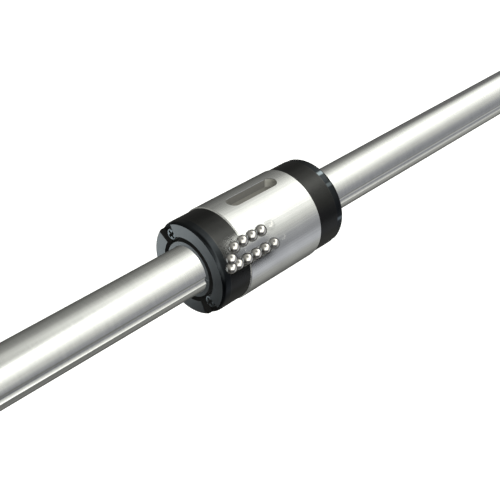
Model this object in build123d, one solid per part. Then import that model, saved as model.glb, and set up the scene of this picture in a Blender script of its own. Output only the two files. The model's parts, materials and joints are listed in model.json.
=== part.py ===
from build123d import *
import os
from math import atan2, cos, hypot, radians, sin, tan

# Miniature ball spline. Millimetres. X runs along the shaft, Z goes up through the keyway, and the
# origin is the middle of the nut, on the shaft's axis. Angles go from +Y towards +Z.

# shaft
shaft_diameter = 8.0
shaft_length = 200.0
shaft_end_chamfer = 0.5

# nut, steel part
nut_diameter = 16.0
body_length = 16.5
body_edge_chamfer = 0.2
bore_clearance = 0.15  # between shaft and nut, on the radius
key_width = 2.6
key_depth = 1.6
key_length = 10.6  # over its round ends

# balls and their circuit
ball_diameter = 1.75
ball_pitch = 2.03  # between neighbours in the chain
middle_ball = 0.48  # along X, of the loaded ball nearest the middle
modelled_balls = 3  # of each loaded row
modelled_step = 3  # from one modelled ball to the next, in balls
load_row_rise = 0.57  # from the shaft's surface to the centres of the loaded balls
return_row_depth = 1.6  # from the nut's surface to the centres of the returning balls
return_angle = -41.0  # from the loaded row to the return hole
arch_excess = 0.19  # of each Gothic arc's radius over the ball's
contact_angle = 40.0
contact_clearance = 0.04
passage_clearance = 0.06  # round a ball that carries no load, on the radius
turn_start = 0.3  # from the steel face to the bend
turn_radius = 1.25  # of each corner of a turn
turn_lift = 0.6  # how far a turn lifts the balls away from the shaft

# nut, end plates and the return pieces in them
plate_step = 0.16  # from the steel's surface in to the plate's
plate_length = 4.15
plate_bore_clearance = 0.25
pocket_wall = 0.45  # least wall outside a turn
piece_clearance = 0.02  # round a return piece in its seat
piece_inner_reach = 0.65  # from the plane of the ball centres towards the shaft
piece_outer_reach = 2.1

# nut, seal plates and wipers
seal_base = 0.45
rim_height = 1.15
rim_bevel_length = 0.5  # along X
rim_bevel_depth = 0.29
wiper_wall = 0.69
wiper_clearance = 0.04
wiper_seat_clearance = 0.02
rim_gap = 0.78  # of the ring groove between wiper and rim
notch_angle = 28.0

# screws that hold each end
screw_diameter = 1.2
screw_length = 7.2
screw_head_diameter = 1.95
screw_head_height = 0.65
screw_head_gap = 0.33  # between a head and the wiper
screw_angle = 46.0
screw_clearance = 0.06
thread_clearance = 0.02
screw_end_gap = 0.6  # between a screw's tip and the floor of its hole

# worked out from the sizes above
shaft_radius = shaft_diameter / 2
nut_radius = nut_diameter / 2
ball_radius = ball_diameter / 2
body_end = body_length / 2
plate_end = body_end + plate_length
seal_floor = plate_end + seal_base
nut_end = seal_floor + rim_height
plate_radius = nut_radius - plate_step
wiper_radius = shaft_radius + wiper_wall
screw_circle_radius = wiper_radius + screw_head_gap + screw_head_diameter / 2
screw_tip = seal_floor - screw_length
passage_radius = ball_radius + passage_clearance
bend_place = body_end + turn_start
load_row_radius = shaft_radius + load_row_rise
return_row_radius = nut_radius - return_row_depth
return_y = return_row_radius * cos(radians(return_angle))
return_z = return_row_radius * sin(radians(return_angle))
row_distance = hypot(return_y - load_row_radius, return_z)
row_direction = atan2(return_z, return_y - load_row_radius)

# the two circuits and the two screws of an end lie half a turn apart
half_turns = {"left": 0, "right": 180}


def bar(section, start, end):
    """A section drawn in Y and Z, drawn out along X from start to end."""
    return Pos(start, 0, 0) * extrude(Plane.YZ * section, end - start)


def both_solids(solid):
    """A solid and its twin, half a turn round the shaft."""
    return solid + Rot(180, 0, 0) * solid


def both_sections(section):
    """A section drawn in Y and Z and its twin, half a turn round the shaft."""
    return section + Rot(0, 0, 180) * section


def gothic_arch(side, inset=0):
    """Pointed groove round the loaded row. Side 1 faces away from the shaft, -1 towards it."""
    offset = arch_excess - contact_clearance
    y = load_row_radius - side * offset * cos(radians(contact_angle))
    z = offset * sin(radians(contact_angle))
    arc = Circle(ball_radius + arch_excess - inset)
    return (Pos(y, z) * arc) & (Pos(y, -z) * arc)


def screw_place():
    """The upper screw of an end, in Y and Z."""
    angle = radians(screw_angle)
    return Pos(screw_circle_radius * cos(angle), screw_circle_radius * sin(angle))


def turn_plane(level):
    """Plane through both rows of ball centres, moved away from the shaft by level."""
    normal = (0, -sin(row_direction), cos(row_direction))
    plane = Plane(origin=(0, load_row_radius, 0), x_dir=(1, 0, 0), z_dir=normal)
    return plane.offset(level)


def spline_shaft():
    blank = bar(Circle(shaft_radius), -shaft_length / 2, shaft_length / 2)
    blank = chamfer(blank.edges().filter_by(GeomType.CIRCLE), shaft_end_chamfer)
    return blank - bar(both_sections(gothic_arch(-1)), -shaft_length / 2, shaft_length / 2)


def keyway():
    floor = nut_radius - key_depth
    return Pos(0, 0, floor) * extrude(SlotOverall(key_length, key_width), 2 * key_depth)


def outer_cylinder():
    blank = bar(Circle(nut_radius), -body_end, body_end)
    blank = chamfer(blank.edges().filter_by(GeomType.CIRCLE), body_edge_chamfer)
    return_hole = Pos(return_y, return_z) * Circle(passage_radius)
    bores = both_sections(gothic_arch(1) + return_hole) + Circle(shaft_radius + bore_clearance)
    tapped = both_sections(screw_place() * Circle(screw_diameter / 2 + thread_clearance))
    hole_floor = screw_tip - screw_end_gap
    body = blank - bar(bores, -body_end, body_end) - keyway()
    return body - bar(tapped, hole_floor, body_end) - bar(tapped, -body_end, -hole_floor)


def turn_pocket():
    """Passage that takes the balls from the loaded row round to the return hole."""
    reach = bend_place + turn_radius + passage_radius - body_end
    width = row_distance + 2 * passage_radius
    outline = Pos(body_end, -passage_radius) * Rectangle(reach, width, align=Align.MIN)
    outline = fillet(outline.vertices().group_by(Axis.X)[-1], turn_radius + passage_radius)
    passage = extrude(turn_plane(-passage_radius) * outline, 2 * passage_radius + turn_lift)
    return passage & bar(Circle(plate_radius - pocket_wall), body_end, plate_end)


def return_piece(clearance=piece_clearance):
    """Insert whose rounded edges are the inner wall of a turn. It lies on the steel face."""
    height = bend_place + turn_radius - passage_radius - body_end
    width = row_distance - 2 * passage_radius - 2 * clearance
    place = Pos(body_end, passage_radius + clearance)
    outline = place * Rectangle(height - clearance, width, align=Align.MIN)
    if clearance:
        outline = fillet(outline.vertices().group_by(Axis.X)[-1], turn_radius - passage_radius)
    depth = piece_inner_reach + piece_outer_reach - 2 * clearance
    piece = extrude(turn_plane(clearance - piece_inner_reach) * outline, depth)
    return piece - bar(Circle(shaft_radius + plate_bore_clearance), body_end, plate_end)


def end_plate():
    blank = bar(Circle(plate_radius), body_end, plate_end)
    bore = Circle(shaft_radius + plate_bore_clearance)
    holes = both_sections(screw_place() * Circle(screw_diameter / 2 + screw_clearance))
    blank -= bar(bore + holes, body_end, plate_end)
    return blank - both_solids(turn_pocket()) - both_solids(return_piece(clearance=0))


def seal_plate():
    seat_radius = wiper_radius + wiper_seat_clearance
    outline = Polyline(
        (plate_end, seat_radius),
        (plate_end, plate_radius),
        (nut_end - rim_bevel_length, plate_radius),
        (nut_end, plate_radius - rim_bevel_depth),
        (nut_end, wiper_radius + rim_gap),
        (seal_floor, wiper_radius + rim_gap),
        (seal_floor, seat_radius),
        close=True,
    )
    ring = revolve(make_face(outline), Axis.X)
    spread = nut_diameter * tan(radians(notch_angle / 2))
    wedge = Polygon((0, 0), (nut_diameter, -spread), (nut_diameter, spread), align=None)
    ring -= bar(both_sections(Rot(0, 0, screw_angle) * wedge), seal_floor, nut_end)
    holes = both_sections(screw_place() * Circle(screw_diameter / 2 + screw_clearance))
    return ring - bar(holes, plate_end, seal_floor)


def wiper():
    """Ring round the shaft with a tooth in each of its grooves."""
    teeth = both_sections(gothic_arch(-1, inset=wiper_clearance))
    bore = Circle(shaft_radius + wiper_clearance) - teeth
    return bar(Circle(wiper_radius) - bore, plate_end, nut_end)


def screw():
    shank = bar(screw_place() * Circle(screw_diameter / 2), screw_tip, seal_floor)
    head = screw_place() * Circle(screw_head_diameter / 2)
    return shank + bar(head, seal_floor, seal_floor + screw_head_height)


def load_ball_places():
    """Places along X of the modelled balls of a loaded row, evenly about the middle one."""
    reach = modelled_balls // 2
    step = modelled_step * ball_pitch
    return [middle_ball + place * step for place in range(-reach, reach + 1)]


def write(name, shape):
    export_step(shape, f"parts/{name}.step")


os.makedirs("parts", exist_ok=True)
write("spline_shaft", spline_shaft())
write("outer_cylinder", outer_cylinder())

rear_pieces = {
    "end_plate": end_plate(),
    "seal_plate": seal_plate(),
    "wiper": wiper(),
    "screws": both_solids(screw()),
}
for side, angle in half_turns.items():
    rear_pieces[f"{side}_return_piece"] = Rot(angle, 0, 0) * return_piece()
for name, piece in rear_pieces.items():
    write(f"rear_{name}", piece)
    write(f"front_{name}", mirror(piece, about=Plane.YZ))

for side, angle in half_turns.items():
    for number, place in enumerate(load_ball_places(), start=1):
        ball = Pos(place, load_row_radius, 0) * Sphere(ball_radius)
        write(f"{side}_load_ball_{number}", Rot(angle, 0, 0) * ball)
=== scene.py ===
import json
from math import atan2, cos, pi, radians, sin

import bmesh
import bpy
from mathutils import Matrix, Vector

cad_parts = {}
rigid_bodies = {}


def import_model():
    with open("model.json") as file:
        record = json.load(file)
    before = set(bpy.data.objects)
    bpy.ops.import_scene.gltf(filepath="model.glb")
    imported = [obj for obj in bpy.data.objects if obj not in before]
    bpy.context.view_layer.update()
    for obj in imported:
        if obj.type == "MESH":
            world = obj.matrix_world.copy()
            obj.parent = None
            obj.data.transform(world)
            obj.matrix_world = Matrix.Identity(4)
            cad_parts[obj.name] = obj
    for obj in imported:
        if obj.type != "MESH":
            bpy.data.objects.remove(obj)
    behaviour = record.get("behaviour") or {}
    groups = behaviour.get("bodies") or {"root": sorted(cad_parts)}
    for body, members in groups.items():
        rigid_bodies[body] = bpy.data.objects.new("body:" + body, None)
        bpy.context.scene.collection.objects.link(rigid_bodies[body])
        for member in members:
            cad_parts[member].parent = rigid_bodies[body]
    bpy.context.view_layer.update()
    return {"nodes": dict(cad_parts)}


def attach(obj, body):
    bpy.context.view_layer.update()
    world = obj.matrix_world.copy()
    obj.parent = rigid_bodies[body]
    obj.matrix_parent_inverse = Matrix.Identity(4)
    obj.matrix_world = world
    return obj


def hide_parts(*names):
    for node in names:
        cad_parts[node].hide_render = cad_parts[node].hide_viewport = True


# Ball spline: a grooved steel shaft and the ball nut that runs along it. X runs along the shaft,
# Z goes up through the keyway, angles go from +Y towards +Z. Lengths below are in millimetres.

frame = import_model()
nodes = frame["nodes"]
mm = 0.001
sharpAngle = radians(30)  # from which an edge shows as an edge


# Small helpers for nodes and meshes

def addNode(tree, kind, inputs=None, **settings):
    node = tree.nodes.new(kind)
    for name, value in settings.items():
        setattr(node, name, value)
    for socket, value in (inputs or {}).items():
        if isinstance(value, bpy.types.NodeSocket):
            tree.links.new(value, node.inputs[socket])
        else:
            node.inputs[socket].default_value = value
    return node


def doMath(tree, operation, first, second=0.0, third=0.0):
    inputs = {0: first, 1: second}
    if operation == "MULTIPLY_ADD":
        inputs[2] = third
    return addNode(tree, "ShaderNodeMath", inputs, operation=operation).outputs[0]


def vectorMath(tree, operation, first, second=None):
    inputs = {0: first} if second is None else {0: first, 1: second}
    outputs = addNode(tree, "ShaderNodeVectorMath", inputs, operation=operation).outputs
    return outputs["Value" if operation in ("DOT_PRODUCT", "LENGTH") else "Vector"]


def mixColours(tree, share, first, second):
    # Each colour is three numbers or comes from another node.
    inputs = {0: share}
    for socket, colour in ((6, first), (7, second)):
        inputs[socket] = colour if isinstance(colour, bpy.types.NodeSocket) else (*colour, 1)
    return addNode(tree, "ShaderNodeMix", inputs, data_type="RGBA").outputs[2]


def spread(tree, value, low, high, start=0.0, end=1.0, kind="LINEAR"):
    # Takes start..end of a value to low..high.
    inputs = {"Value": value, "From Min": start, "From Max": end, "To Min": low, "To Max": high}
    return addNode(tree, "ShaderNodeMapRange", inputs, interpolation_type=kind).outputs[0]


def objectPlace(tree):
    return addNode(tree, "ShaderNodeTexCoord").outputs["Object"]


def placeParts(tree):
    # X, Y and Z of a place on the piece.
    return addNode(tree, "ShaderNodeSeparateXYZ", {0: objectPlace(tree)}).outputs


def radiusAround(tree):
    # How far a place lies from the shaft's axis.
    return vectorMath(tree, "LENGTH", vectorMath(tree, "MULTIPLY", objectPlace(tree), (0, 1, 1)))


def objectNoise(tree, scale, detail=3.0, roughness=0.55):
    # Noise on the piece's own coordinates. Scale is in bumps per millimetre along X, Y and Z.
    inputs = {"Vector": objectPlace(tree), "Scale": [amount / mm for amount in scale]}
    placed = addNode(tree, "ShaderNodeMapping", inputs).outputs[0]
    inputs = {"Vector": placed, "Scale": 1.0, "Detail": detail, "Roughness": roughness}
    return addNode(tree, "ShaderNodeTexNoise", inputs).outputs[0]


def newMaterial(name):
    material = bpy.data.materials.new(name)
    material.use_nodes = True
    tree = material.node_tree
    return material, tree, tree.nodes["Principled BSDF"]


def addRelief(tree, shader, height, depth):
    inputs = {"Height": height, "Distance": depth * mm, "Strength": 1.0}
    tree.links.new(addNode(tree, "ShaderNodeBump", inputs).outputs[0], shader.inputs["Normal"])


def finishPiece(name, shape, *materials):
    bmesh.ops.recalc_face_normals(shape, faces=shape.faces)
    mesh = bpy.data.meshes.new(name)
    shape.to_mesh(mesh)
    shape.free()
    for material in materials:
        mesh.materials.append(material)
    mesh.shade_smooth()
    mesh.set_sharp_from_angle(angle=sharpAngle)
    piece = bpy.data.objects.new(name, mesh)
    bpy.context.scene.collection.objects.link(piece)
    return piece


def applyModifiers(piece):
    bpy.context.view_layer.update()
    finished = piece.evaluated_get(bpy.context.evaluated_depsgraph_get())
    mesh = bpy.data.meshes.new_from_object(finished)
    piece.modifiers.clear()
    piece.data = mesh


def cutAway(piece, cutter):
    cut = piece.modifiers.new("cut", "BOOLEAN")
    cut.operation = "DIFFERENCE"
    cut.solver = "EXACT"
    cut.object = cutter
    applyModifiers(piece)
    bpy.data.objects.remove(cutter)
    piece.data.shade_smooth()
    piece.data.set_sharp_from_angle(angle=sharpAngle)


def softenEdges(piece, width):
    bevel = piece.modifiers.new("soft edges", "BEVEL")
    bevel.width = width * mm
    bevel.segments = 2
    bevel.limit_method = "ANGLE"
    bevel.angle_limit = sharpAngle
    bevel.harden_normals = True
    applyModifiers(piece)


# Camera

camera = {
    "azimuth": -45.683,
    "elevation": 34.727,
    "distance": 138.359,
    "target": (-8.976, -8.401, 5.223),
    "lens": 66.72,
    "sensorWidth": 36,
    "nearest": 2.0,  # distances between which it sees
    "farthest": 20000.0,
}


def placeCamera():
    azimuth, elevation = radians(camera["azimuth"]), radians(camera["elevation"])
    back = Vector((sin(azimuth) * cos(elevation), -cos(azimuth) * cos(elevation), sin(elevation)))
    data = bpy.data.cameras.new("camera")
    data.lens = camera["lens"]
    data.sensor_width = camera["sensorWidth"]
    data.clip_start = camera["nearest"] * mm
    data.clip_end = camera["farthest"] * mm
    viewer = bpy.data.objects.new("camera", data)
    viewer.location = (Vector(camera["target"]) + back * camera["distance"]) * mm
    viewer.rotation_euler = back.to_track_quat("Z", "Y").to_euler()
    bpy.context.scene.collection.objects.link(viewer)
    bpy.context.scene.camera = viewer


placeCamera()
print("camera placed")


# Studio: a soft dome, cool lamps for the nut's near face and the balls, a pale floor

studio = {
    "turn": 27.0,  # of the long soft light, from the shaft's line towards +Y
    "brightest": 3.2,
    "levels": (  # round the long soft light, from +Y towards +Z: degrees and share of the brightest
        (0, 0.054), (44, 0.094), (62, 0.128), (80, 0.240), (100, 0.450), (124, 1.000),
        (146, 0.440), (166, 0.240), (184, 0.128), (196, 0.097), (210, 0.186), (220, 0.214),
        (236, 0.152), (256, 0.080), (276, 0.055), (330, 0.047), (360, 0.054),
    ),
    "coolFrom": 175,  # degrees between which the light is cooler
    "coolTo": 225,
    "warm": (1.0, 1.01, 0.95),
    "cool": (0.97, 0.995, 1.045),
    "lowerEdge": (85, 135),  # degrees over which the long light's lower edge begins
    "edgeTurn": (28, -10),  # how far that edge turns towards the near end and the far end
    "edgeTurnPlace": (-0.05, 0.80),  # along X, between the two
    "dimmed": 0.22,  # what is left of the light low down behind the near end
    "dimmedAlong": (-0.25, 0.10),  # where it begins and ends, along the light and in height
    "dimmedHeight": (-0.40, -0.05),
    "spots": (  # direction, light there beside the rest, and how near the spot begins and is fullest
        ((0.588, 0.574, -0.569), 0.55, 0.78, 0.95),
        ((-0.06, -0.12, 0.99), 0.28, 0.81, 0.98),
        ((0.236, -0.353, -0.905), 0.50, 0.912, 0.975),
        ((0.050, -0.985, -0.165), 1.40, 0.92, 0.990),
    ),
    "farEnd": (0.90, 0.965),  # how near its far end the long light stops
    "lampPlace": (-60.0, 74.0, -42.0),
    "lampAim": (-14.0, 3.0, 3.0),
    "lampColour": (0.86, 0.96, 1.0),
    "faceLamp": (52.0, 0.0355),  # size and watts
    "ballLamp": (90.0, 0.0080),
    "floorHeight": -80.0,
    "floorSize": 4000.0,
    "floorColour": (0.82, 0.82, 0.82),
    "floorSpeckle": 0.98,  # share of that colour in the darkest speckles
    "speckleScale": (0.01, 0.01, 0.01),
    "floorRoughness": 0.9,
    "floorGlow": 0.6,
}


def buildDome():
    dome = bpy.data.worlds.new("studio")
    dome.use_nodes = True
    bpy.context.scene.world = dome
    tree = dome.node_tree
    tree.nodes.clear()
    direction = addNode(tree, "ShaderNodeTexCoord").outputs["Generated"]
    inputs = {"Vector": direction, "Rotation": (0, 0, -radians(studio["turn"]))}
    turned = addNode(tree, "ShaderNodeMapping", inputs).outputs[0]
    parts = addNode(tree, "ShaderNodeSeparateXYZ", {0: turned}).outputs
    angle = doMath(tree, "ARCTAN2", parts["Z"], parts["Y"])
    around = doMath(tree, "FRACT", doMath(tree, "MULTIPLY_ADD", angle, 0.5 / pi, 1.0))
    alongShaft = addNode(tree, "ShaderNodeSeparateXYZ", {0: direction}).outputs["X"]
    edgeTurn = [degrees / 360 for degrees in studio["edgeTurn"]]
    turn = spread(tree, alongShaft, *edgeTurn, *studio["edgeTurnPlace"])
    edgeStart, edgeEnd = [degrees / 360 for degrees in studio["lowerEdge"]]
    lowerEdge = spread(tree, around, 0.0, 1.0, edgeStart, edgeEnd, "SMOOTHSTEP")
    around = doMath(tree, "SUBTRACT", around, doMath(tree, "MULTIPLY", turn, lowerEdge))
    ramp = addNode(tree, "ShaderNodeValToRGB", {0: around})
    ramp.color_ramp.interpolation = "EASE"
    steps = ramp.color_ramp.elements
    for number, (place, level) in enumerate(studio["levels"]):
        if number < 2:
            step = steps[number]
            step.position = place / 360
        else:
            step = steps.new(place / 360)
        tint = studio["cool" if studio["coolFrom"] < place < studio["coolTo"] else "warm"]
        step.color = (*(level * channel for channel in tint), 1)
    behind = spread(tree, parts["X"], 1.0, 0.0, *studio["dimmedAlong"], "SMOOTHSTEP")
    low = spread(tree, parts["Z"], 1.0, 0.0, *studio["dimmedHeight"], "SMOOTHSTEP")
    strength = spread(tree, doMath(tree, "MULTIPLY", behind, low), 1.0, studio["dimmed"])
    for place, share, start, end in studio["spots"]:
        nearness = vectorMath(tree, "DOT_PRODUCT", direction, Vector(place).normalized())
        beside = spread(tree, nearness, 1.0, share, start, end, "SMOOTHSTEP")
        strength = doMath(tree, "MULTIPLY", strength, beside)
    strength = doMath(tree, "MULTIPLY", strength, studio["brightest"])
    stopped = spread(tree, parts["X"], 0.0, 1.0, *studio["farEnd"], "SMOOTHSTEP")
    unlit = [studio["levels"][0][1]] * 3
    colour = mixColours(tree, stopped, ramp.outputs[0], unlit)
    soft = addNode(tree, "ShaderNodeBackground", {"Color": colour, "Strength": strength}).outputs[0]
    white = addNode(tree, "ShaderNodeBackground", {"Color": (1, 1, 1, 1), "Strength": 1.0}).outputs[0]
    toCamera = addNode(tree, "ShaderNodeLightPath").outputs["Is Camera Ray"]
    seen = addNode(tree, "ShaderNodeMixShader", {0: toCamera, 1: soft, 2: white}).outputs[0]
    addNode(tree, "ShaderNodeOutputWorld", {"Surface": seen})


def placeLamp(name, size, watts, pieces):
    # A soft lamp in front of the nut's near end, for the named pieces only.
    light = bpy.data.lights.new(name, "AREA")
    light.shape = "DISK"
    light.size = size * mm
    light.energy = watts
    light.color = studio["lampColour"]
    lamp = bpy.data.objects.new(name, light)
    place = Vector(studio["lampPlace"])
    lamp.location = place * mm
    lamp.rotation_euler = (place - Vector(studio["lampAim"])).to_track_quat("Z", "Y").to_euler()
    lamp.visible_camera = False
    bpy.context.scene.collection.objects.link(lamp)
    lit = bpy.data.collections.new(f"lit_by_{name}")
    for piece in pieces:
        lit.objects.link(bpy.data.objects[piece])
    lamp.light_linking.receiver_collection = lit


def buildFloor():
    material, tree, shader = newMaterial("pale_floor")
    speckle = objectNoise(tree, studio["speckleScale"])
    darker = [channel * studio["floorSpeckle"] for channel in studio["floorColour"]]
    colour = mixColours(tree, speckle, darker, studio["floorColour"])
    tree.links.new(colour, shader.inputs["Base Color"])
    shader.inputs["Roughness"].default_value = studio["floorRoughness"]
    shader.inputs["Specular IOR Level"].default_value = 0.0
    ray = addNode(tree, "ShaderNodeLightPath").outputs
    mirrored = doMath(tree, "MAXIMUM", ray["Is Glossy Ray"], ray["Is Transmission Ray"])
    seen = doMath(tree, "MAXIMUM", ray["Is Camera Ray"], mirrored)
    glow = doMath(tree, "MULTIPLY", seen, studio["floorGlow"])
    tree.links.new(glow, shader.inputs["Emission Strength"])
    shader.inputs["Emission Color"].default_value = (1, 1, 1, 1)
    shape = bmesh.new()
    half = studio["floorSize"] / 2 * mm
    bmesh.ops.create_grid(shape, x_segments=8, y_segments=8, size=half)
    bmesh.ops.translate(shape, verts=shape.verts, vec=(0, 0, studio["floorHeight"] * mm))
    floor = finishPiece("floor", shape, material)
    floor.visible_glossy = False


buildDome()
buildFloor()
print("studio built")


# Where the balls of a circuit lie

ballChain = {
    "ballDiameter": 1.75,
    "pitch": 2.03,
    "middleBall": 0.48,  # along X
    "packed": (-3, 0, 3),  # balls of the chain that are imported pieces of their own
    "first": -4,  # first and last ball of the circuit, counted from the middle ball
    "last": 17,
    "loadRowRadius": 4.57,
    "returnRowRadius": 6.4,
    "returnAngle": -41.0,
    "bend": 8.55,  # along X, where the turns begin
    "turnRadius": 1.25,
    "turnLift": 0.57,  # how far the turns bulge outwards
    "liftShape": 0.7,
}


returnAngle = radians(ballChain["returnAngle"])
loadRow = Vector((0, ballChain["loadRowRadius"], 0))
returnRow = Vector((0, cos(returnAngle), sin(returnAngle))) * ballChain["returnRowRadius"]
rowDistance = (returnRow - loadRow).length
cornerLength = pi / 2 * ballChain["turnRadius"]
turnLength = 2 * cornerLength + rowDistance - 2 * ballChain["turnRadius"]


def chainPlace(distance):
    # The centre of a ball, at a distance along its circuit from the middle ball.
    bend = ballChain["bend"]
    loop = 4 * bend + 2 * turnLength
    run = (distance + bend - ballChain["middleBall"]) % loop  # from the loaded row's rear end
    if run < 2 * bend:
        return loadRow + Vector((bend - run, 0, 0))
    run -= 2 * bend
    if run < turnLength:
        return turnPlace(run, -1)
    run -= turnLength
    if run < 2 * bend:
        return returnRow + Vector((run - bend, 0, 0))
    return turnPlace(turnLength - (run - 2 * bend), 1)


def turnPlace(run, end):
    # A place in the turn at one end, from the loaded row towards the return row.
    radius = ballChain["turnRadius"]
    towardsReturn = (returnRow - loadRow).normalized()
    outward = Vector((0, -towardsReturn.z, towardsReturn.y))
    lift = ballChain["turnLift"] * sin(pi * run / turnLength) ** ballChain["liftShape"]
    if run < cornerLength:
        x = radius * sin(run / radius)
        y = radius * (1 - cos(run / radius))
    elif run < turnLength - cornerLength:
        x = radius
        y = radius + run - cornerLength
    else:
        left = turnLength - run
        x = radius * sin(left / radius)
        y = rowDistance - radius * (1 - cos(left / radius))
    alongShaft = Vector((end * (ballChain["bend"] + x), 0, 0))
    return loadRow + alongShaft + towardsReturn * y + outward * lift


# See-through window round the front of the right-hand ball circuit

window = {
    "seenFrom": (-90.4, -87.9, 84.1),  # the window is cut along the lines from the balls to this place
    "wallRadius": 7.9,
    "start": (-12.9, -7.3),  # along X on the wall: where it is closed and where it is open
    "end": (-1.7, -4.6),
    "above": (-1.5, 1.5),  # the same across the shaft, from the cut's middle plane
    "below": (5.6, 3.4),
    "nearSide": (-0.3, 0.3),  # the far side of the wall stays
    "firstBall": -1,
    "lastBall": 11,
    "faintBalls": {-1: 0.07, 0: 0.75, 11: 0.25},  # how far it fades there, and 1 in front of the others
    "insideSteel": 7.79,  # radius within which what is half faded is gone
    "insideResin": 7.80,
    "rim": (-0.04, 0.03),  # how far past a ball's edge its hole begins to close and is closed
    "outline": (0.03, 0.14),  # how far past it the wall's painted ring of shade begins to fade and is gone
    "outlineCover": 0.8,  # how much of the faded wall comes back there, to show the painted shade
    "outlineColour": (0.008, 0.0075, 0.007),
    "steelInsideShade": 0.004,  # brightness of the painted shade on the wall where it shows its own inside
    "resinInsideShade": 0.001,
}


def cutWindow(tree, shader, colour, inside):
    # Fades the wall out, softly round the balls and sharply in front of each, and paints a dark
    # ring of shade on it round each ball. Returns its colour.
    circuit = [
        Matrix.Rotation(pi, 3, "X") @ chainPlace(number * ballChain["pitch"])
        for number in range(window["firstBall"], window["lastBall"] + 1)
    ]
    middle = sum(circuit, Vector()) / len(circuit)
    back = (Vector(window["seenFrom"]) - middle).normalized()
    slant = (back.y ** 2 + back.z ** 2) ** 0.5
    lean = back.x / slant
    outward = Vector((0, back.y, back.z)) / slant
    place = objectPlace(tree)
    across = vectorMath(tree, "DOT_PRODUCT", place, (0, -outward.z, outward.y))
    # where the line of sight through a place leaves the wall
    squared = doMath(tree, "MULTIPLY", across, across)
    depth = doMath(tree, "SQRT", doMath(tree, "SUBTRACT", (window["wallRadius"] * mm) ** 2, squared))
    along = vectorMath(tree, "DOT_PRODUCT", place, Vector((1, 0, 0)) - outward * lean)
    along = doMath(tree, "MULTIPLY_ADD", depth, lean, along)
    soft = 1.0
    for value, side in ((along, "start"), (along, "end"), (across, "above"), (across, "below")):
        fade = spread(tree, value, 0.0, 1.0, *(limit * mm for limit in window[side]), "SMOOTHSTEP")
        soft = doMath(tree, "MULTIPLY", soft, fade)
    holes = 0.0
    outlined = 0.0
    edge = ballChain["ballDiameter"] / 2
    for number, centre in enumerate(circuit, start=window["firstBall"]):
        sight = (Vector(window["seenFrom"]) - centre).normalized()
        offset = vectorMath(tree, "SUBTRACT", place, centre * mm)
        distance = vectorMath(tree, "LENGTH", vectorMath(tree, "CROSS_PRODUCT", offset, sight))
        share = window["faintBalls"].get(number, 1.0)
        hole = spread(tree, distance, share, 0.0, *((edge + past) * mm for past in window["rim"]))
        holes = doMath(tree, "MAXIMUM", holes, hole)
        limits = [(edge + past) * mm for past in window["outline"]]
        ring = spread(tree, distance, share ** 3, 0.0, *limits)
        outlined = doMath(tree, "MAXIMUM", outlined, ring)
    covered = doMath(tree, "MULTIPLY", outlined, window["outlineCover"])
    soft = doMath(tree, "MULTIPLY", soft, doMath(tree, "SUBTRACT", 1.0, covered))
    opened = doMath(tree, "MAXIMUM", soft, holes)
    depth = vectorMath(tree, "DOT_PRODUCT", place, outward)
    nearSide = spread(tree, depth, 0.0, 1.0, *(limit * mm for limit in window["nearSide"]))
    opened = doMath(tree, "MULTIPLY", opened, nearSide)
    gone = doMath(tree, "GREATER_THAN", opened, 0.001)
    gone = doMath(tree, "MULTIPLY", gone, insideRadius(tree, inside))
    left = doMath(tree, "SUBTRACT", 1.0, doMath(tree, "MAXIMUM", opened, gone))
    tree.links.new(left, shader.inputs["Alpha"])
    # Paints the ring of shade into the wall's colour.
    return mixColours(tree, doMath(tree, "MULTIPLY", outlined, nearSide), colour, window["outlineColour"])


def insideRadius(tree, radius, softness=0.02):
    # 1 inside a radius round the shaft, 0 outside it.
    return spread(tree, radiusAround(tree), 1.0, 0.0, (radius - softness) * mm, (radius + softness) * mm)


# Finishes

noiseMiddle = (0.25, 0.75)  # between which most of a noise lies

wornEdge = {
    "width": 0.10,
    "fullWidth": 0.04,
    "patches": (2.0, 2.0, 2.0),  # of the noise that breaks the wear up
    "patchEdges": (0.35, 0.6),
    "least": 0.7,  # wear between the patches
}

shaftFinish = {
    "dark": (0.60, 0.605, 0.60),
    "light": (0.68, 0.68, 0.67),
    "streaks": (3.0, 0.35, 0.35),  # ground round the shaft, so the streaks crowd along X
    "roughness": (0.15, 0.22),
    "relief": 0.0002,
    "wornAt": (99.5, 100.0),  # distances along X from the middle
    "worn": (0.80, 0.80, 0.78),
}

cylinderFinish = {
    "dark": (0.54, 0.545, 0.545),
    "light": (0.73, 0.73, 0.72),
    "streaks": (0.04, 5.0, 5.0),  # brushed along the nut
    "roughness": (0.16, 0.26),
    "relief": 0.0004,
    # The light worn ring at the end chamfers is partly wear and partly a painted highlight line.
    "wornAt": (8.15,),
    "worn": (0.97, 0.97, 0.95),
    "outside": 7.95,  # radius and half length within which the steel is only machined
    "ends": 8.0,
    "fade": 0.04,
    # The slot's walls are darker, partly as milled and partly as painted shade; its floor and far end are
    # lighter, as painted light.
    "machined": (0.255, 0.248, 0.230),
    "litSlotFloor": (0.345, 0.335, 0.312),
    "floorHeight": (6.42, 6.44),
    "litSlotEnd": (0.56, 0.55, 0.51),  # the far round end of the slot, lighter as painted light
    "endPlace": (4.2, 4.5),
    "machinedRoughness": 0.80,
    "wornRoughness": 0.5,
}

screwFinish = {
    "dark": (0.030, 0.034, 0.036),
    "light": (0.048, 0.054, 0.057),
    "streaks": (2.0, 2.0, 2.0),
    "roughness": (0.30, 0.40),
    "relief": 0.0004,
    "wornAt": (13.48,),
    "worn": (0.055, 0.060, 0.063),
}

ballFinish = {
    "dark": (0.69, 0.665, 0.64),
    "light": (0.75, 0.725, 0.695),
    "streaks": (0.8, 0.8, 0.8),
    "roughness": (0.05, 0.09),
    "relief": 0.0001,
    "rimTint": 0.1,
}

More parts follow.
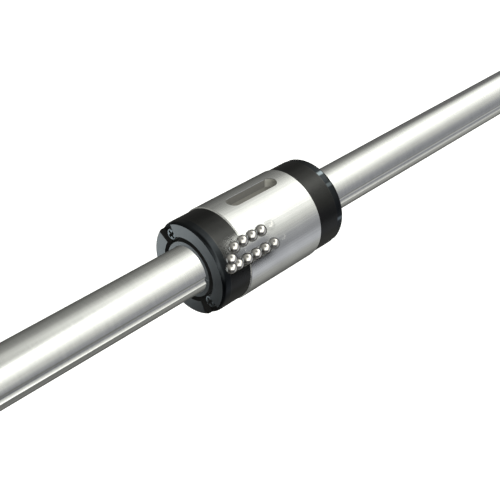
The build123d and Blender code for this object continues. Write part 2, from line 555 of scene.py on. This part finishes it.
endPlateFinish = {
    "dark": (0.025, 0.0252, 0.025),
    "light": (0.035, 0.035, 0.0345),
    "grain": (1.2, 5.0, 5.0),
    "roughness": (0.13, 0.24),
    "relief": 0.001,
    "rimTint": 0.70,  # shines like dark metal, but less at its edges
    "wornAt": (12.38,),
    "worn": (0.050, 0.049, 0.047),
}

sealSideFinish = {
    "dark": (0.016, 0.018, 0.020),
    "light": (0.026, 0.029, 0.032),
    "grain": (1.2, 5.0, 5.0),
    "roughness": (0.13, 0.22),
    "relief": 0.0006,
    "rimTint": 0.70,
    "glints": (  # painted highlights: degrees round the rear ring, half width and share
        (113.0, 3.6, 0.9), (131.0, 3.2, 0.4), (176.0, 3.2, 0.8),
    ),
    "paintedGlint": (0.17, 0.20, 0.22),
    "glintsFrom": (12.4, 12.5),  # along X
}

sealPlateFinish = {
    "dark": (0.004, 0.0048, 0.0055),
    "light": (0.007, 0.0082, 0.0092),
    "grain": (1.5, 1.5, 1.5),
    "roughness": (0.27, 0.33),
    "relief": 0.0002,
    "gloss": 0.24,
}

# Dull and dark: paints shade into the ring groove, the notches, the wipers' sides and the screws' cross.
recessShadeFinish = {
    "dark": (0.002, 0.002, 0.002),
    "light": (0.006, 0.006, 0.006),
    "grain": (2.5, 2.5, 2.5),
    "roughness": (0.60, 0.80),
    "relief": 0.002,
    "gloss": 0.12,
}

wiperFinish = {
    "dark": (0.005, 0.006, 0.0066),
    "light": (0.009, 0.0105, 0.0115),
    "grain": (2.5, 2.5, 2.5),
    "roughness": (0.27, 0.33),
    "relief": 0.0002,
    "gloss": 0.24,
}

returnPieceFinish = {
    "dark": (0.020, 0.020, 0.019),
    "light": (0.034, 0.033, 0.031),
    "grain": (2.0, 2.0, 2.0),
    "roughness": (0.35, 0.50),
    "relief": 0.002,
    "gloss": 0.5,
}


def mottle(tree, fine, patchSize=8.0):
    # Fine texture over broad patches, for the colour. The patches' size is in millimetres.
    patches = objectNoise(tree, [1 / patchSize] * 3, detail=2.0)
    both = doMath(tree, "MULTIPLY_ADD", patches, 0.5, doMath(tree, "MULTIPLY", fine, 0.5))
    return spread(tree, both, 0.0, 1.0, 0.3, 0.7)


def wearEdges(tree, colour, finish):
    # Adds worn edges, broken up by noise. Returns the colour and the worn share.
    x = doMath(tree, "ABSOLUTE", placeParts(tree)["X"])
    worn = 0.0
    for place in finish["wornAt"]:
        distance = doMath(tree, "ABSOLUTE", doMath(tree, "SUBTRACT", x, place * mm))
        edge = spread(tree, distance, 1.0, 0.0, wornEdge["fullWidth"] * mm, wornEdge["width"] * mm)
        worn = doMath(tree, "MAXIMUM", worn, edge)
    noise = objectNoise(tree, wornEdge["patches"])
    patches = spread(tree, noise, wornEdge["least"], 1.0, *wornEdge["patchEdges"])
    worn = doMath(tree, "MULTIPLY", worn, patches)
    return mixColours(tree, worn, colour, finish["worn"]), worn


def paintInsideShade(tree, colour, darkness):
    # A wall seen from its own inside, through the window, gets painted shade: its colour is made dark.
    behind = addNode(tree, "ShaderNodeNewGeometry").outputs["Backfacing"]
    return mixColours(tree, behind, colour, [darkness] * 3)


def machinedShare(tree, finish):
    # 1 in the slot and the bores, 0 on the ground outside and the end chamfers.
    inside = 1.0
    fromMiddle = doMath(tree, "ABSOLUTE", placeParts(tree)["X"])
    for distance, limit in ((radiusAround(tree), finish["outside"]), (fromMiddle, finish["ends"])):
        fade = spread(tree, distance, 1.0, 0.0, (limit - finish["fade"]) * mm, limit * mm)
        inside = doMath(tree, "MULTIPLY", inside, fade)
    return inside


def slotPaintedLight(tree, finish):
    # The slot's walls, darker partly as milled and partly as painted shade, and its far end and its
    # floor, lighter as painted light.
    parts = placeParts(tree)
    atEnd = spread(tree, parts["X"], 0.0, 1.0, *(place * mm for place in finish["endPlace"]))
    low = spread(tree, parts["Z"], 1.0, 0.0, *(height * mm for height in finish["floorHeight"]))
    walls = mixColours(tree, atEnd, finish["machined"], finish["litSlotEnd"])
    return mixColours(tree, low, walls, finish["litSlotFloor"])


def darkenRim(shader, finish):
    # Takes the shine of a metal's edges down.
    shader.inputs["Specular Tint"].default_value = (*[finish.get("rimTint", 1.0)] * 3, 1)


def paintGlints(tree, colour, finish):
    # Paints light-blue glints, painted highlights, at the given places round the rear ring's side.
    parts = placeParts(tree)
    angle = doMath(tree, "ARCTAN2", parts["Z"], parts["Y"])
    paintedGlint = 0.0
    for place, halfWidth, most in finish["glints"]:
        distance = doMath(tree, "ABSOLUTE", doMath(tree, "SUBTRACT", angle, radians(place)))
        half = radians(halfWidth)
        share = spread(tree, distance, most, 0.0, 0.3 * half, half, "SMOOTHSTEP")
        paintedGlint = doMath(tree, "MAXIMUM", paintedGlint, share)
    atRear = spread(tree, parts["X"], 0.0, 1.0, *(place * mm for place in finish["glintsFrom"]))
    return mixColours(tree, doMath(tree, "MULTIPLY", paintedGlint, atRear), colour, finish["paintedGlint"])


def makeSteel(name, finish, seeThrough=False):
    material, tree, shader = newMaterial(name)
    streaks = objectNoise(tree, finish["streaks"], detail=4.0, roughness=0.6)
    colour = mixColours(tree, mottle(tree, streaks), finish["dark"], finish["light"])
    roughness = spread(tree, streaks, *finish["roughness"], *noiseMiddle)
    if "machined" in finish:
        machined = machinedShare(tree, finish)
        # Paints the slot's shade and light into its colour.
        colour = mixColours(tree, machined, colour, slotPaintedLight(tree, finish))
        rougher = doMath(tree, "MULTIPLY", machined, finish["machinedRoughness"])
        roughness = doMath(tree, "MAXIMUM", roughness, rougher)
    if "wornAt" in finish:
        colour, worn = wearEdges(tree, colour, finish)
        rougher = doMath(tree, "MULTIPLY", worn, finish.get("wornRoughness", 0.3))
        roughness = doMath(tree, "MAXIMUM", roughness, rougher)
    if seeThrough:
        colour = paintInsideShade(tree, colour, window["steelInsideShade"])
        colour = cutWindow(tree, shader, colour, window["insideSteel"])
    tree.links.new(colour, shader.inputs["Base Color"])
    tree.links.new(roughness, shader.inputs["Roughness"])
    shader.inputs["Metallic"].default_value = 1.0
    darkenRim(shader, finish)
    addRelief(tree, shader, streaks, finish["relief"])
    return material


def makeResin(name, finish, seeThrough=False):
    material, tree, shader = newMaterial(name)
    grain = objectNoise(tree, finish["grain"], detail=5.0, roughness=0.65)
    colour = mixColours(tree, mottle(tree, grain, patchSize=4.0), finish["dark"], finish["light"])
    if "wornAt" in finish:
        colour = wearEdges(tree, colour, finish)[0]
    # Painted highlights on the rear ring's side.
    if "glints" in finish:
        colour = paintGlints(tree, colour, finish)
    if seeThrough:
        colour = paintInsideShade(tree, colour, window["resinInsideShade"])
        colour = cutWindow(tree, shader, colour, window["insideResin"])
    tree.links.new(colour, shader.inputs["Base Color"])
    roughness = spread(tree, grain, *finish["roughness"], *noiseMiddle)
    tree.links.new(roughness, shader.inputs["Roughness"])
    if "rimTint" in finish:
        shader.inputs["Metallic"].default_value = 1.0
        darkenRim(shader, finish)
    else:
        shader.inputs["Specular IOR Level"].default_value = finish["gloss"]
    addRelief(tree, shader, grain, finish["relief"])
    return material


groundSteel = makeSteel("ground_shaft_steel", shaftFinish)
brushedSteel = makeSteel("brushed_cylinder_steel", cylinderFinish, seeThrough=True)
polishedSteel = makeSteel("polished_ball_steel", ballFinish)
screwSteel = makeSteel("screw_steel", screwFinish)
blackResin = makeResin("black_resin", endPlateFinish)
fadedResin = makeResin("black_resin_with_window", endPlateFinish, seeThrough=True)
sealResin = makeResin("seal_plate_resin", sealPlateFinish)
sealSideResin = makeResin("seal_plate_side_resin", sealSideFinish)
fadedSideResin = makeResin("seal_plate_side_resin_with_window", sealSideFinish, seeThrough=True)
shadedRecessResin = makeResin("recess_resin_painted_shade", recessShadeFinish)
wiperRubber = makeResin("wiper_rubber", wiperFinish)
returnResin = makeResin("return_piece_resin", returnPieceFinish)
fadedReturnResin = makeResin("return_piece_resin_with_window", returnPieceFinish, seeThrough=True)
print("finishes made")


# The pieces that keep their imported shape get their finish

def dress(name, material):
    mesh = nodes[name].data
    mesh.materials.clear()
    mesh.materials.append(material)


dress("spline_shaft", groundSteel)
dress("outer_cylinder", brushedSteel)
dress("front_end_plate", fadedResin)
dress("rear_end_plate", blackResin)
for end in ("front", "rear"):
    dress(f"{end}_left_return_piece", returnResin)
dress("rear_right_return_piece", returnResin)
dress("front_right_return_piece", fadedReturnResin)
for side in ("left", "right"):
    for number in (1, 2, 3):
        dress(f"{side}_load_ball_{number}", polishedSteel)
print("packed pieces dressed")


# Seal plates: a rim with a rounded edge, split by two notches

sealPlate = {
    "start": 12.4,
    "floor": 12.85,
    "end": 14.0,
    "radius": 7.84,
    "roundStart": 13.35,
    "roundRadius": 0.87,
    "grooveRadius": 5.47,
    "seatRadius": 4.71,
    "notchPlace": 46.0,
    "notchAngle": 28.0,
    "notchReach": 12.0,  # from the axis
    "notchHeight": 3.0,
    "holeRadius": 0.66,
    "holeCircle": 5.995,
    "sideFrom": 7.42,  # radius from which the ring has its side's finish
    "margin": 0.02,
    "softEdge": 0.04,
    "steps": 120,
}


def ringProfile(shape):
    # The ring's section, above the axis in X and Z.
    middle = sealPlate["radius"] - sealPlate["roundRadius"]
    turn = (sealPlate["end"] - sealPlate["roundStart"]) / sealPlate["roundRadius"]
    turn = atan2(turn, (1 - turn * turn) ** 0.5)
    first = shape.verts.new((sealPlate["roundStart"] * mm, 0, sealPlate["radius"] * mm))
    centre = (sealPlate["roundStart"] * mm, 0, middle * mm)
    arc = bmesh.ops.spin(shape, geom=[first], cent=centre, axis=(0, 1, 0), angle=turn, steps=8)
    last = arc["geom_last"][0]
    corners = (
        (sealPlate["end"], sealPlate["grooveRadius"]),
        (sealPlate["floor"], sealPlate["grooveRadius"]),
        (sealPlate["floor"], sealPlate["seatRadius"]),
        (sealPlate["start"], sealPlate["seatRadius"]),
        (sealPlate["start"], sealPlate["radius"]),
    )
    for x, radius in corners:
        corner = shape.verts.new((x * mm, 0, radius * mm))
        shape.edges.new((last, corner))
        last = corner
    shape.edges.new((last, first))


def notchCutter(place):
    # A wedge from the shaft's axis outwards, above the plate's floor.
    half = radians(sealPlate["notchAngle"] / 2)
    reach = sealPlate["notchReach"] * mm
    shape = bmesh.new()
    corners = [shape.verts.new((sealPlate["floor"] * mm, 0, 0))]
    for side in (-half, half):
        corners.append(shape.verts.new((sealPlate["floor"] * mm, reach * cos(side), reach * sin(side))))
    face = shape.faces.new(corners)
    lifted = bmesh.ops.extrude_face_region(shape, geom=[face])
    moved = [part for part in lifted["geom"] if isinstance(part, bmesh.types.BMVert)]
    bmesh.ops.translate(shape, verts=moved, vec=(sealPlate["notchHeight"] * mm, 0, 0))
    turn = Matrix.Rotation(radians(place), 3, "X")
    bmesh.ops.rotate(shape, verts=shape.verts, cent=(0, 0, 0), matrix=turn)
    return finishPiece("notch_cutter", shape, sealResin)


def finishSides(piece, sideResin):
    # The outer side and the back get the side's finish, the groove and the notches the dull, dark one,
    # which paints shade into them.
    piece.data.materials.append(shadedRecessResin)
    piece.data.materials.append(sideResin)
    margin = sealPlate["margin"]
    for face in piece.data.polygons:
        radius = (face.center.y ** 2 + face.center.z ** 2) ** 0.5
        place = abs(face.center.x)
        face.material_index = 0
        if (sealPlate["floor"] - margin) * mm < place < (sealPlate["end"] - margin) * mm:
            face.material_index = 1
        if radius > sealPlate["sideFrom"] * mm or place < (sealPlate["start"] + margin) * mm:
            face.material_index = 2


def rodAlongX(radius, start, end, segments):
    shape = bmesh.new()
    bmesh.ops.create_cone(
        shape, cap_ends=True, segments=segments, radius1=radius * mm, radius2=radius * mm,
        depth=(end - start) * mm, matrix=Matrix.Rotation(pi / 2, 4, "Y"),
    )
    bmesh.ops.translate(shape, verts=shape.verts, vec=((start + end) / 2 * mm, 0, 0))
    return shape


def moveToScrew(shape, place, circle):
    angle = radians(place)
    vec = (0, circle * cos(angle) * mm, circle * sin(angle) * mm)
    bmesh.ops.translate(shape, verts=shape.verts, vec=vec)


def mirrorToFront(piece, name):
    shape = bmesh.new()
    shape.from_mesh(piece.data)
    bmesh.ops.scale(shape, verts=shape.verts, vec=(-1, 1, 1))
    return finishPiece(name, shape, *piece.data.materials)


def buildSealPlate():
    shape = bmesh.new()
    ringProfile(shape)
    bmesh.ops.spin(
        shape, geom=shape.verts[:] + shape.edges[:], cent=(0, 0, 0), axis=(1, 0, 0),
        angle=2 * pi, steps=sealPlate["steps"], use_merge=True,
    )
    bmesh.ops.remove_doubles(shape, verts=shape.verts, dist=0.0001 * mm)
    piece = finishPiece("rear_seal_rim", shape, sealResin)
    for half in (0, 180):
        cutAway(piece, notchCutter(sealPlate["notchPlace"] + half))
        hole = rodAlongX(sealPlate["holeRadius"], sealPlate["start"] - 1, sealPlate["end"], 32)
        moveToScrew(hole, sealPlate["notchPlace"] + half, sealPlate["holeCircle"])
        cutAway(piece, finishPiece("hole_cutter", hole, sealResin))
    return piece


rearRim = buildSealPlate()
frontRim = mirrorToFront(rearRim, "front_seal_rim")
for end, piece, sideResin in (("rear", rearRim, sealSideResin), ("front", frontRim, fadedSideResin)):
    finishSides(piece, sideResin)
    softenEdges(piece, sealPlate["softEdge"])
    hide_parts(f"{end}_seal_plate")
    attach(piece, "nut")
print("seal plates built")


# Wipers: the imported shape with a dull, dark side in the ring groove, as painted shade

wiper = {
    "shadeFrom": 4.6,  # radius from which a side is dull and dark, as painted shade
    "sideSlope": 0.5,  # how little a side may face along X
}


def buildWiper(end):
    shape = bmesh.new()
    shape.from_mesh(nodes[f"{end}_wiper"].data)
    bmesh.ops.remove_doubles(shape, verts=shape.verts, dist=0.0005 * mm)
    piece = finishPiece(f"{end}_wiper_ring", shape, wiperRubber)
    piece.data.materials.append(shadedRecessResin)
    for face in piece.data.polygons:
        radius = (face.center.y ** 2 + face.center.z ** 2) ** 0.5
        atSide = abs(face.normal.x) < wiper["sideSlope"]
        face.material_index = 1 if atSide and radius > wiper["shadeFrom"] * mm else 0
    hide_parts(f"{end}_wiper")
    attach(piece, "nut")


for end in ("front", "rear"):
    buildWiper(end)
print("wipers built")


# Screws with a cross recess

screw = {
    "seat": 12.85,
    "tip": 5.65,
    "shankRadius": 0.6,
    "headRadius": 0.975,
    "headHeight": 0.65,
    "headEdge": 0.12,
    "tipEdge": 0.15,
    "place": 46.0,
    "circle": 5.995,
    "slotWidth": 0.50,
    "slotLength": 1.62,
    "slotDepth": 0.45,
    "slotTurn": 42.0,  # of the cross
    "slotCutAbove": 0.2,
    "slotAtFloor": (0.75, 0.6),  # share of its width and length
    "slotAtTop": (1.0, 1.05),
    "shadeBelow": 0.1,  # how far in the cross is dull and dark as painted shade, from the seat and from the head's side
    "overlap": 0.05,  # of shank and head
    "margin": 0.01,
}


def slotCutter(turn):
    # One arm of the cross, narrower at its floor.
    shape = bmesh.new()
    bmesh.ops.create_cube(shape, size=1.0)
    top = screw["seat"] + screw["headHeight"]
    for corner in shape.verts:
        atFloor = corner.co.x < 0
        widthShare, lengthShare = screw["slotAtFloor" if atFloor else "slotAtTop"]
        corner.co.x = (top - screw["slotDepth"] if atFloor else top + screw["slotCutAbove"]) * mm
        corner.co.y *= screw["slotWidth"] * widthShare * mm
        corner.co.z *= screw["slotLength"] * lengthShare * mm
    turned = Matrix.Rotation(radians(turn), 3, "X")
    bmesh.ops.rotate(shape, verts=shape.verts, cent=(0, 0, 0), matrix=turned)
    return finishPiece("slot_cutter", shape, screwSteel)


def buildScrewHead():
    top = screw["seat"] + screw["headHeight"]
    shape = rodAlongX(screw["headRadius"], screw["seat"], top, 48)
    rimPlace = (top - screw["margin"]) * mm
    rim = [edge for edge in shape.edges if all(end.co.x > rimPlace for end in edge.verts)]
    bmesh.ops.bevel(
        shape, geom=rim, offset=screw["headEdge"] * mm, offset_type="OFFSET", affect="EDGES",
        segments=4, profile=0.5, material=-1,
    )
    head = finishPiece("screw_head", shape, screwSteel)
    for turn in (0, 90):
        cutAway(head, slotCutter(screw["slotTurn"] + turn))
    head.data.materials.append(shadedRecessResin)
    for face in head.data.polygons:
        radius = (face.center.y ** 2 + face.center.z ** 2) ** 0.5
        sunk = (screw["seat"] + screw["shadeBelow"]) * mm < face.center.x < rimPlace
        inCross = sunk and radius < (screw["headRadius"] - screw["shadeBelow"]) * mm
        face.material_index = 1 if inCross else 0
    return head


def buildScrews():
    head = buildScrewHead()
    shape = rodAlongX(screw["shankRadius"], screw["tip"], screw["seat"] + screw["overlap"], 32)
    tipPlace = (screw["tip"] + screw["margin"]) * mm
    tip = [edge for edge in shape.edges if all(end.co.x < tipPlace for end in edge.verts)]
    bmesh.ops.bevel(
        shape, geom=tip, offset=screw["tipEdge"] * mm, offset_type="OFFSET", affect="EDGES",
        segments=2, profile=0.5, material=-1,
    )
    shape.from_mesh(head.data)  # brings its material numbers with it
    bpy.data.objects.remove(head)
    moveToScrew(shape, screw["place"], screw["circle"])
    twin = bmesh.ops.duplicate(shape, geom=shape.verts[:] + shape.edges[:] + shape.faces[:])
    twinCorners = [part for part in twin["geom"] if isinstance(part, bmesh.types.BMVert)]
    halfTurn = Matrix.Rotation(pi, 3, "X")
    bmesh.ops.rotate(shape, verts=twinCorners, cent=(0, 0, 0), matrix=halfTurn)
    return finishPiece("rear_cross_screws", shape, screwSteel, shadedRecessResin)


rearScrews = buildScrews()
frontScrews = mirrorToFront(rearScrews, "front_cross_screws")
for end, piece in (("rear", rearScrews), ("front", frontScrews)):
    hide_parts(f"{end}_screws")
    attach(piece, "nut")
print("screws built")


# The balls of both circuits, beside the three that each loaded row already has

def buildBallChain(name, halfTurn):
    shape = bmesh.new()
    for number in range(ballChain["first"], ballChain["last"] + 1):
        if number in ballChain["packed"]:
            continue
        place = chainPlace(number * ballChain["pitch"]) * mm
        radius = ballChain["ballDiameter"] / 2 * mm
        bmesh.ops.create_icosphere(shape, subdivisions=4, radius=radius, matrix=Matrix.Translation(place))
    turn = Matrix.Rotation(radians(halfTurn), 3, "X")
    bmesh.ops.rotate(shape, verts=shape.verts, cent=(0, 0, 0), matrix=turn)
    return finishPiece(name, shape, polishedSteel)


for side, halfTurn in (("left", 0), ("right", 180)):
    chain = buildBallChain(f"{side}_ball_chain", halfTurn)
    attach(chain, "nut")
print("ball chains built")


# The steel mirrors the dome only, no neighbour

for piece in bpy.context.scene.objects:
    if piece.type == "MESH":
        piece.visible_glossy = False


# Lamps for the nut's near face and for the balls

facePieces = ["front_seal_rim", "front_wiper_ring", "front_cross_screws"]
ballPieces = ["left_ball_chain", "right_ball_chain"]
ballPieces += [f"{side}_load_ball_{number}" for side in ("left", "right") for number in (1, 2, 3)]
placeLamp("face_lamp", *studio["faceLamp"], facePieces)
placeLamp("ball_lamp", *studio["ballLamp"], ballPieces)
print("lamps placed")


# Picture settings

bpy.context.scene.view_settings.view_transform = "Standard"
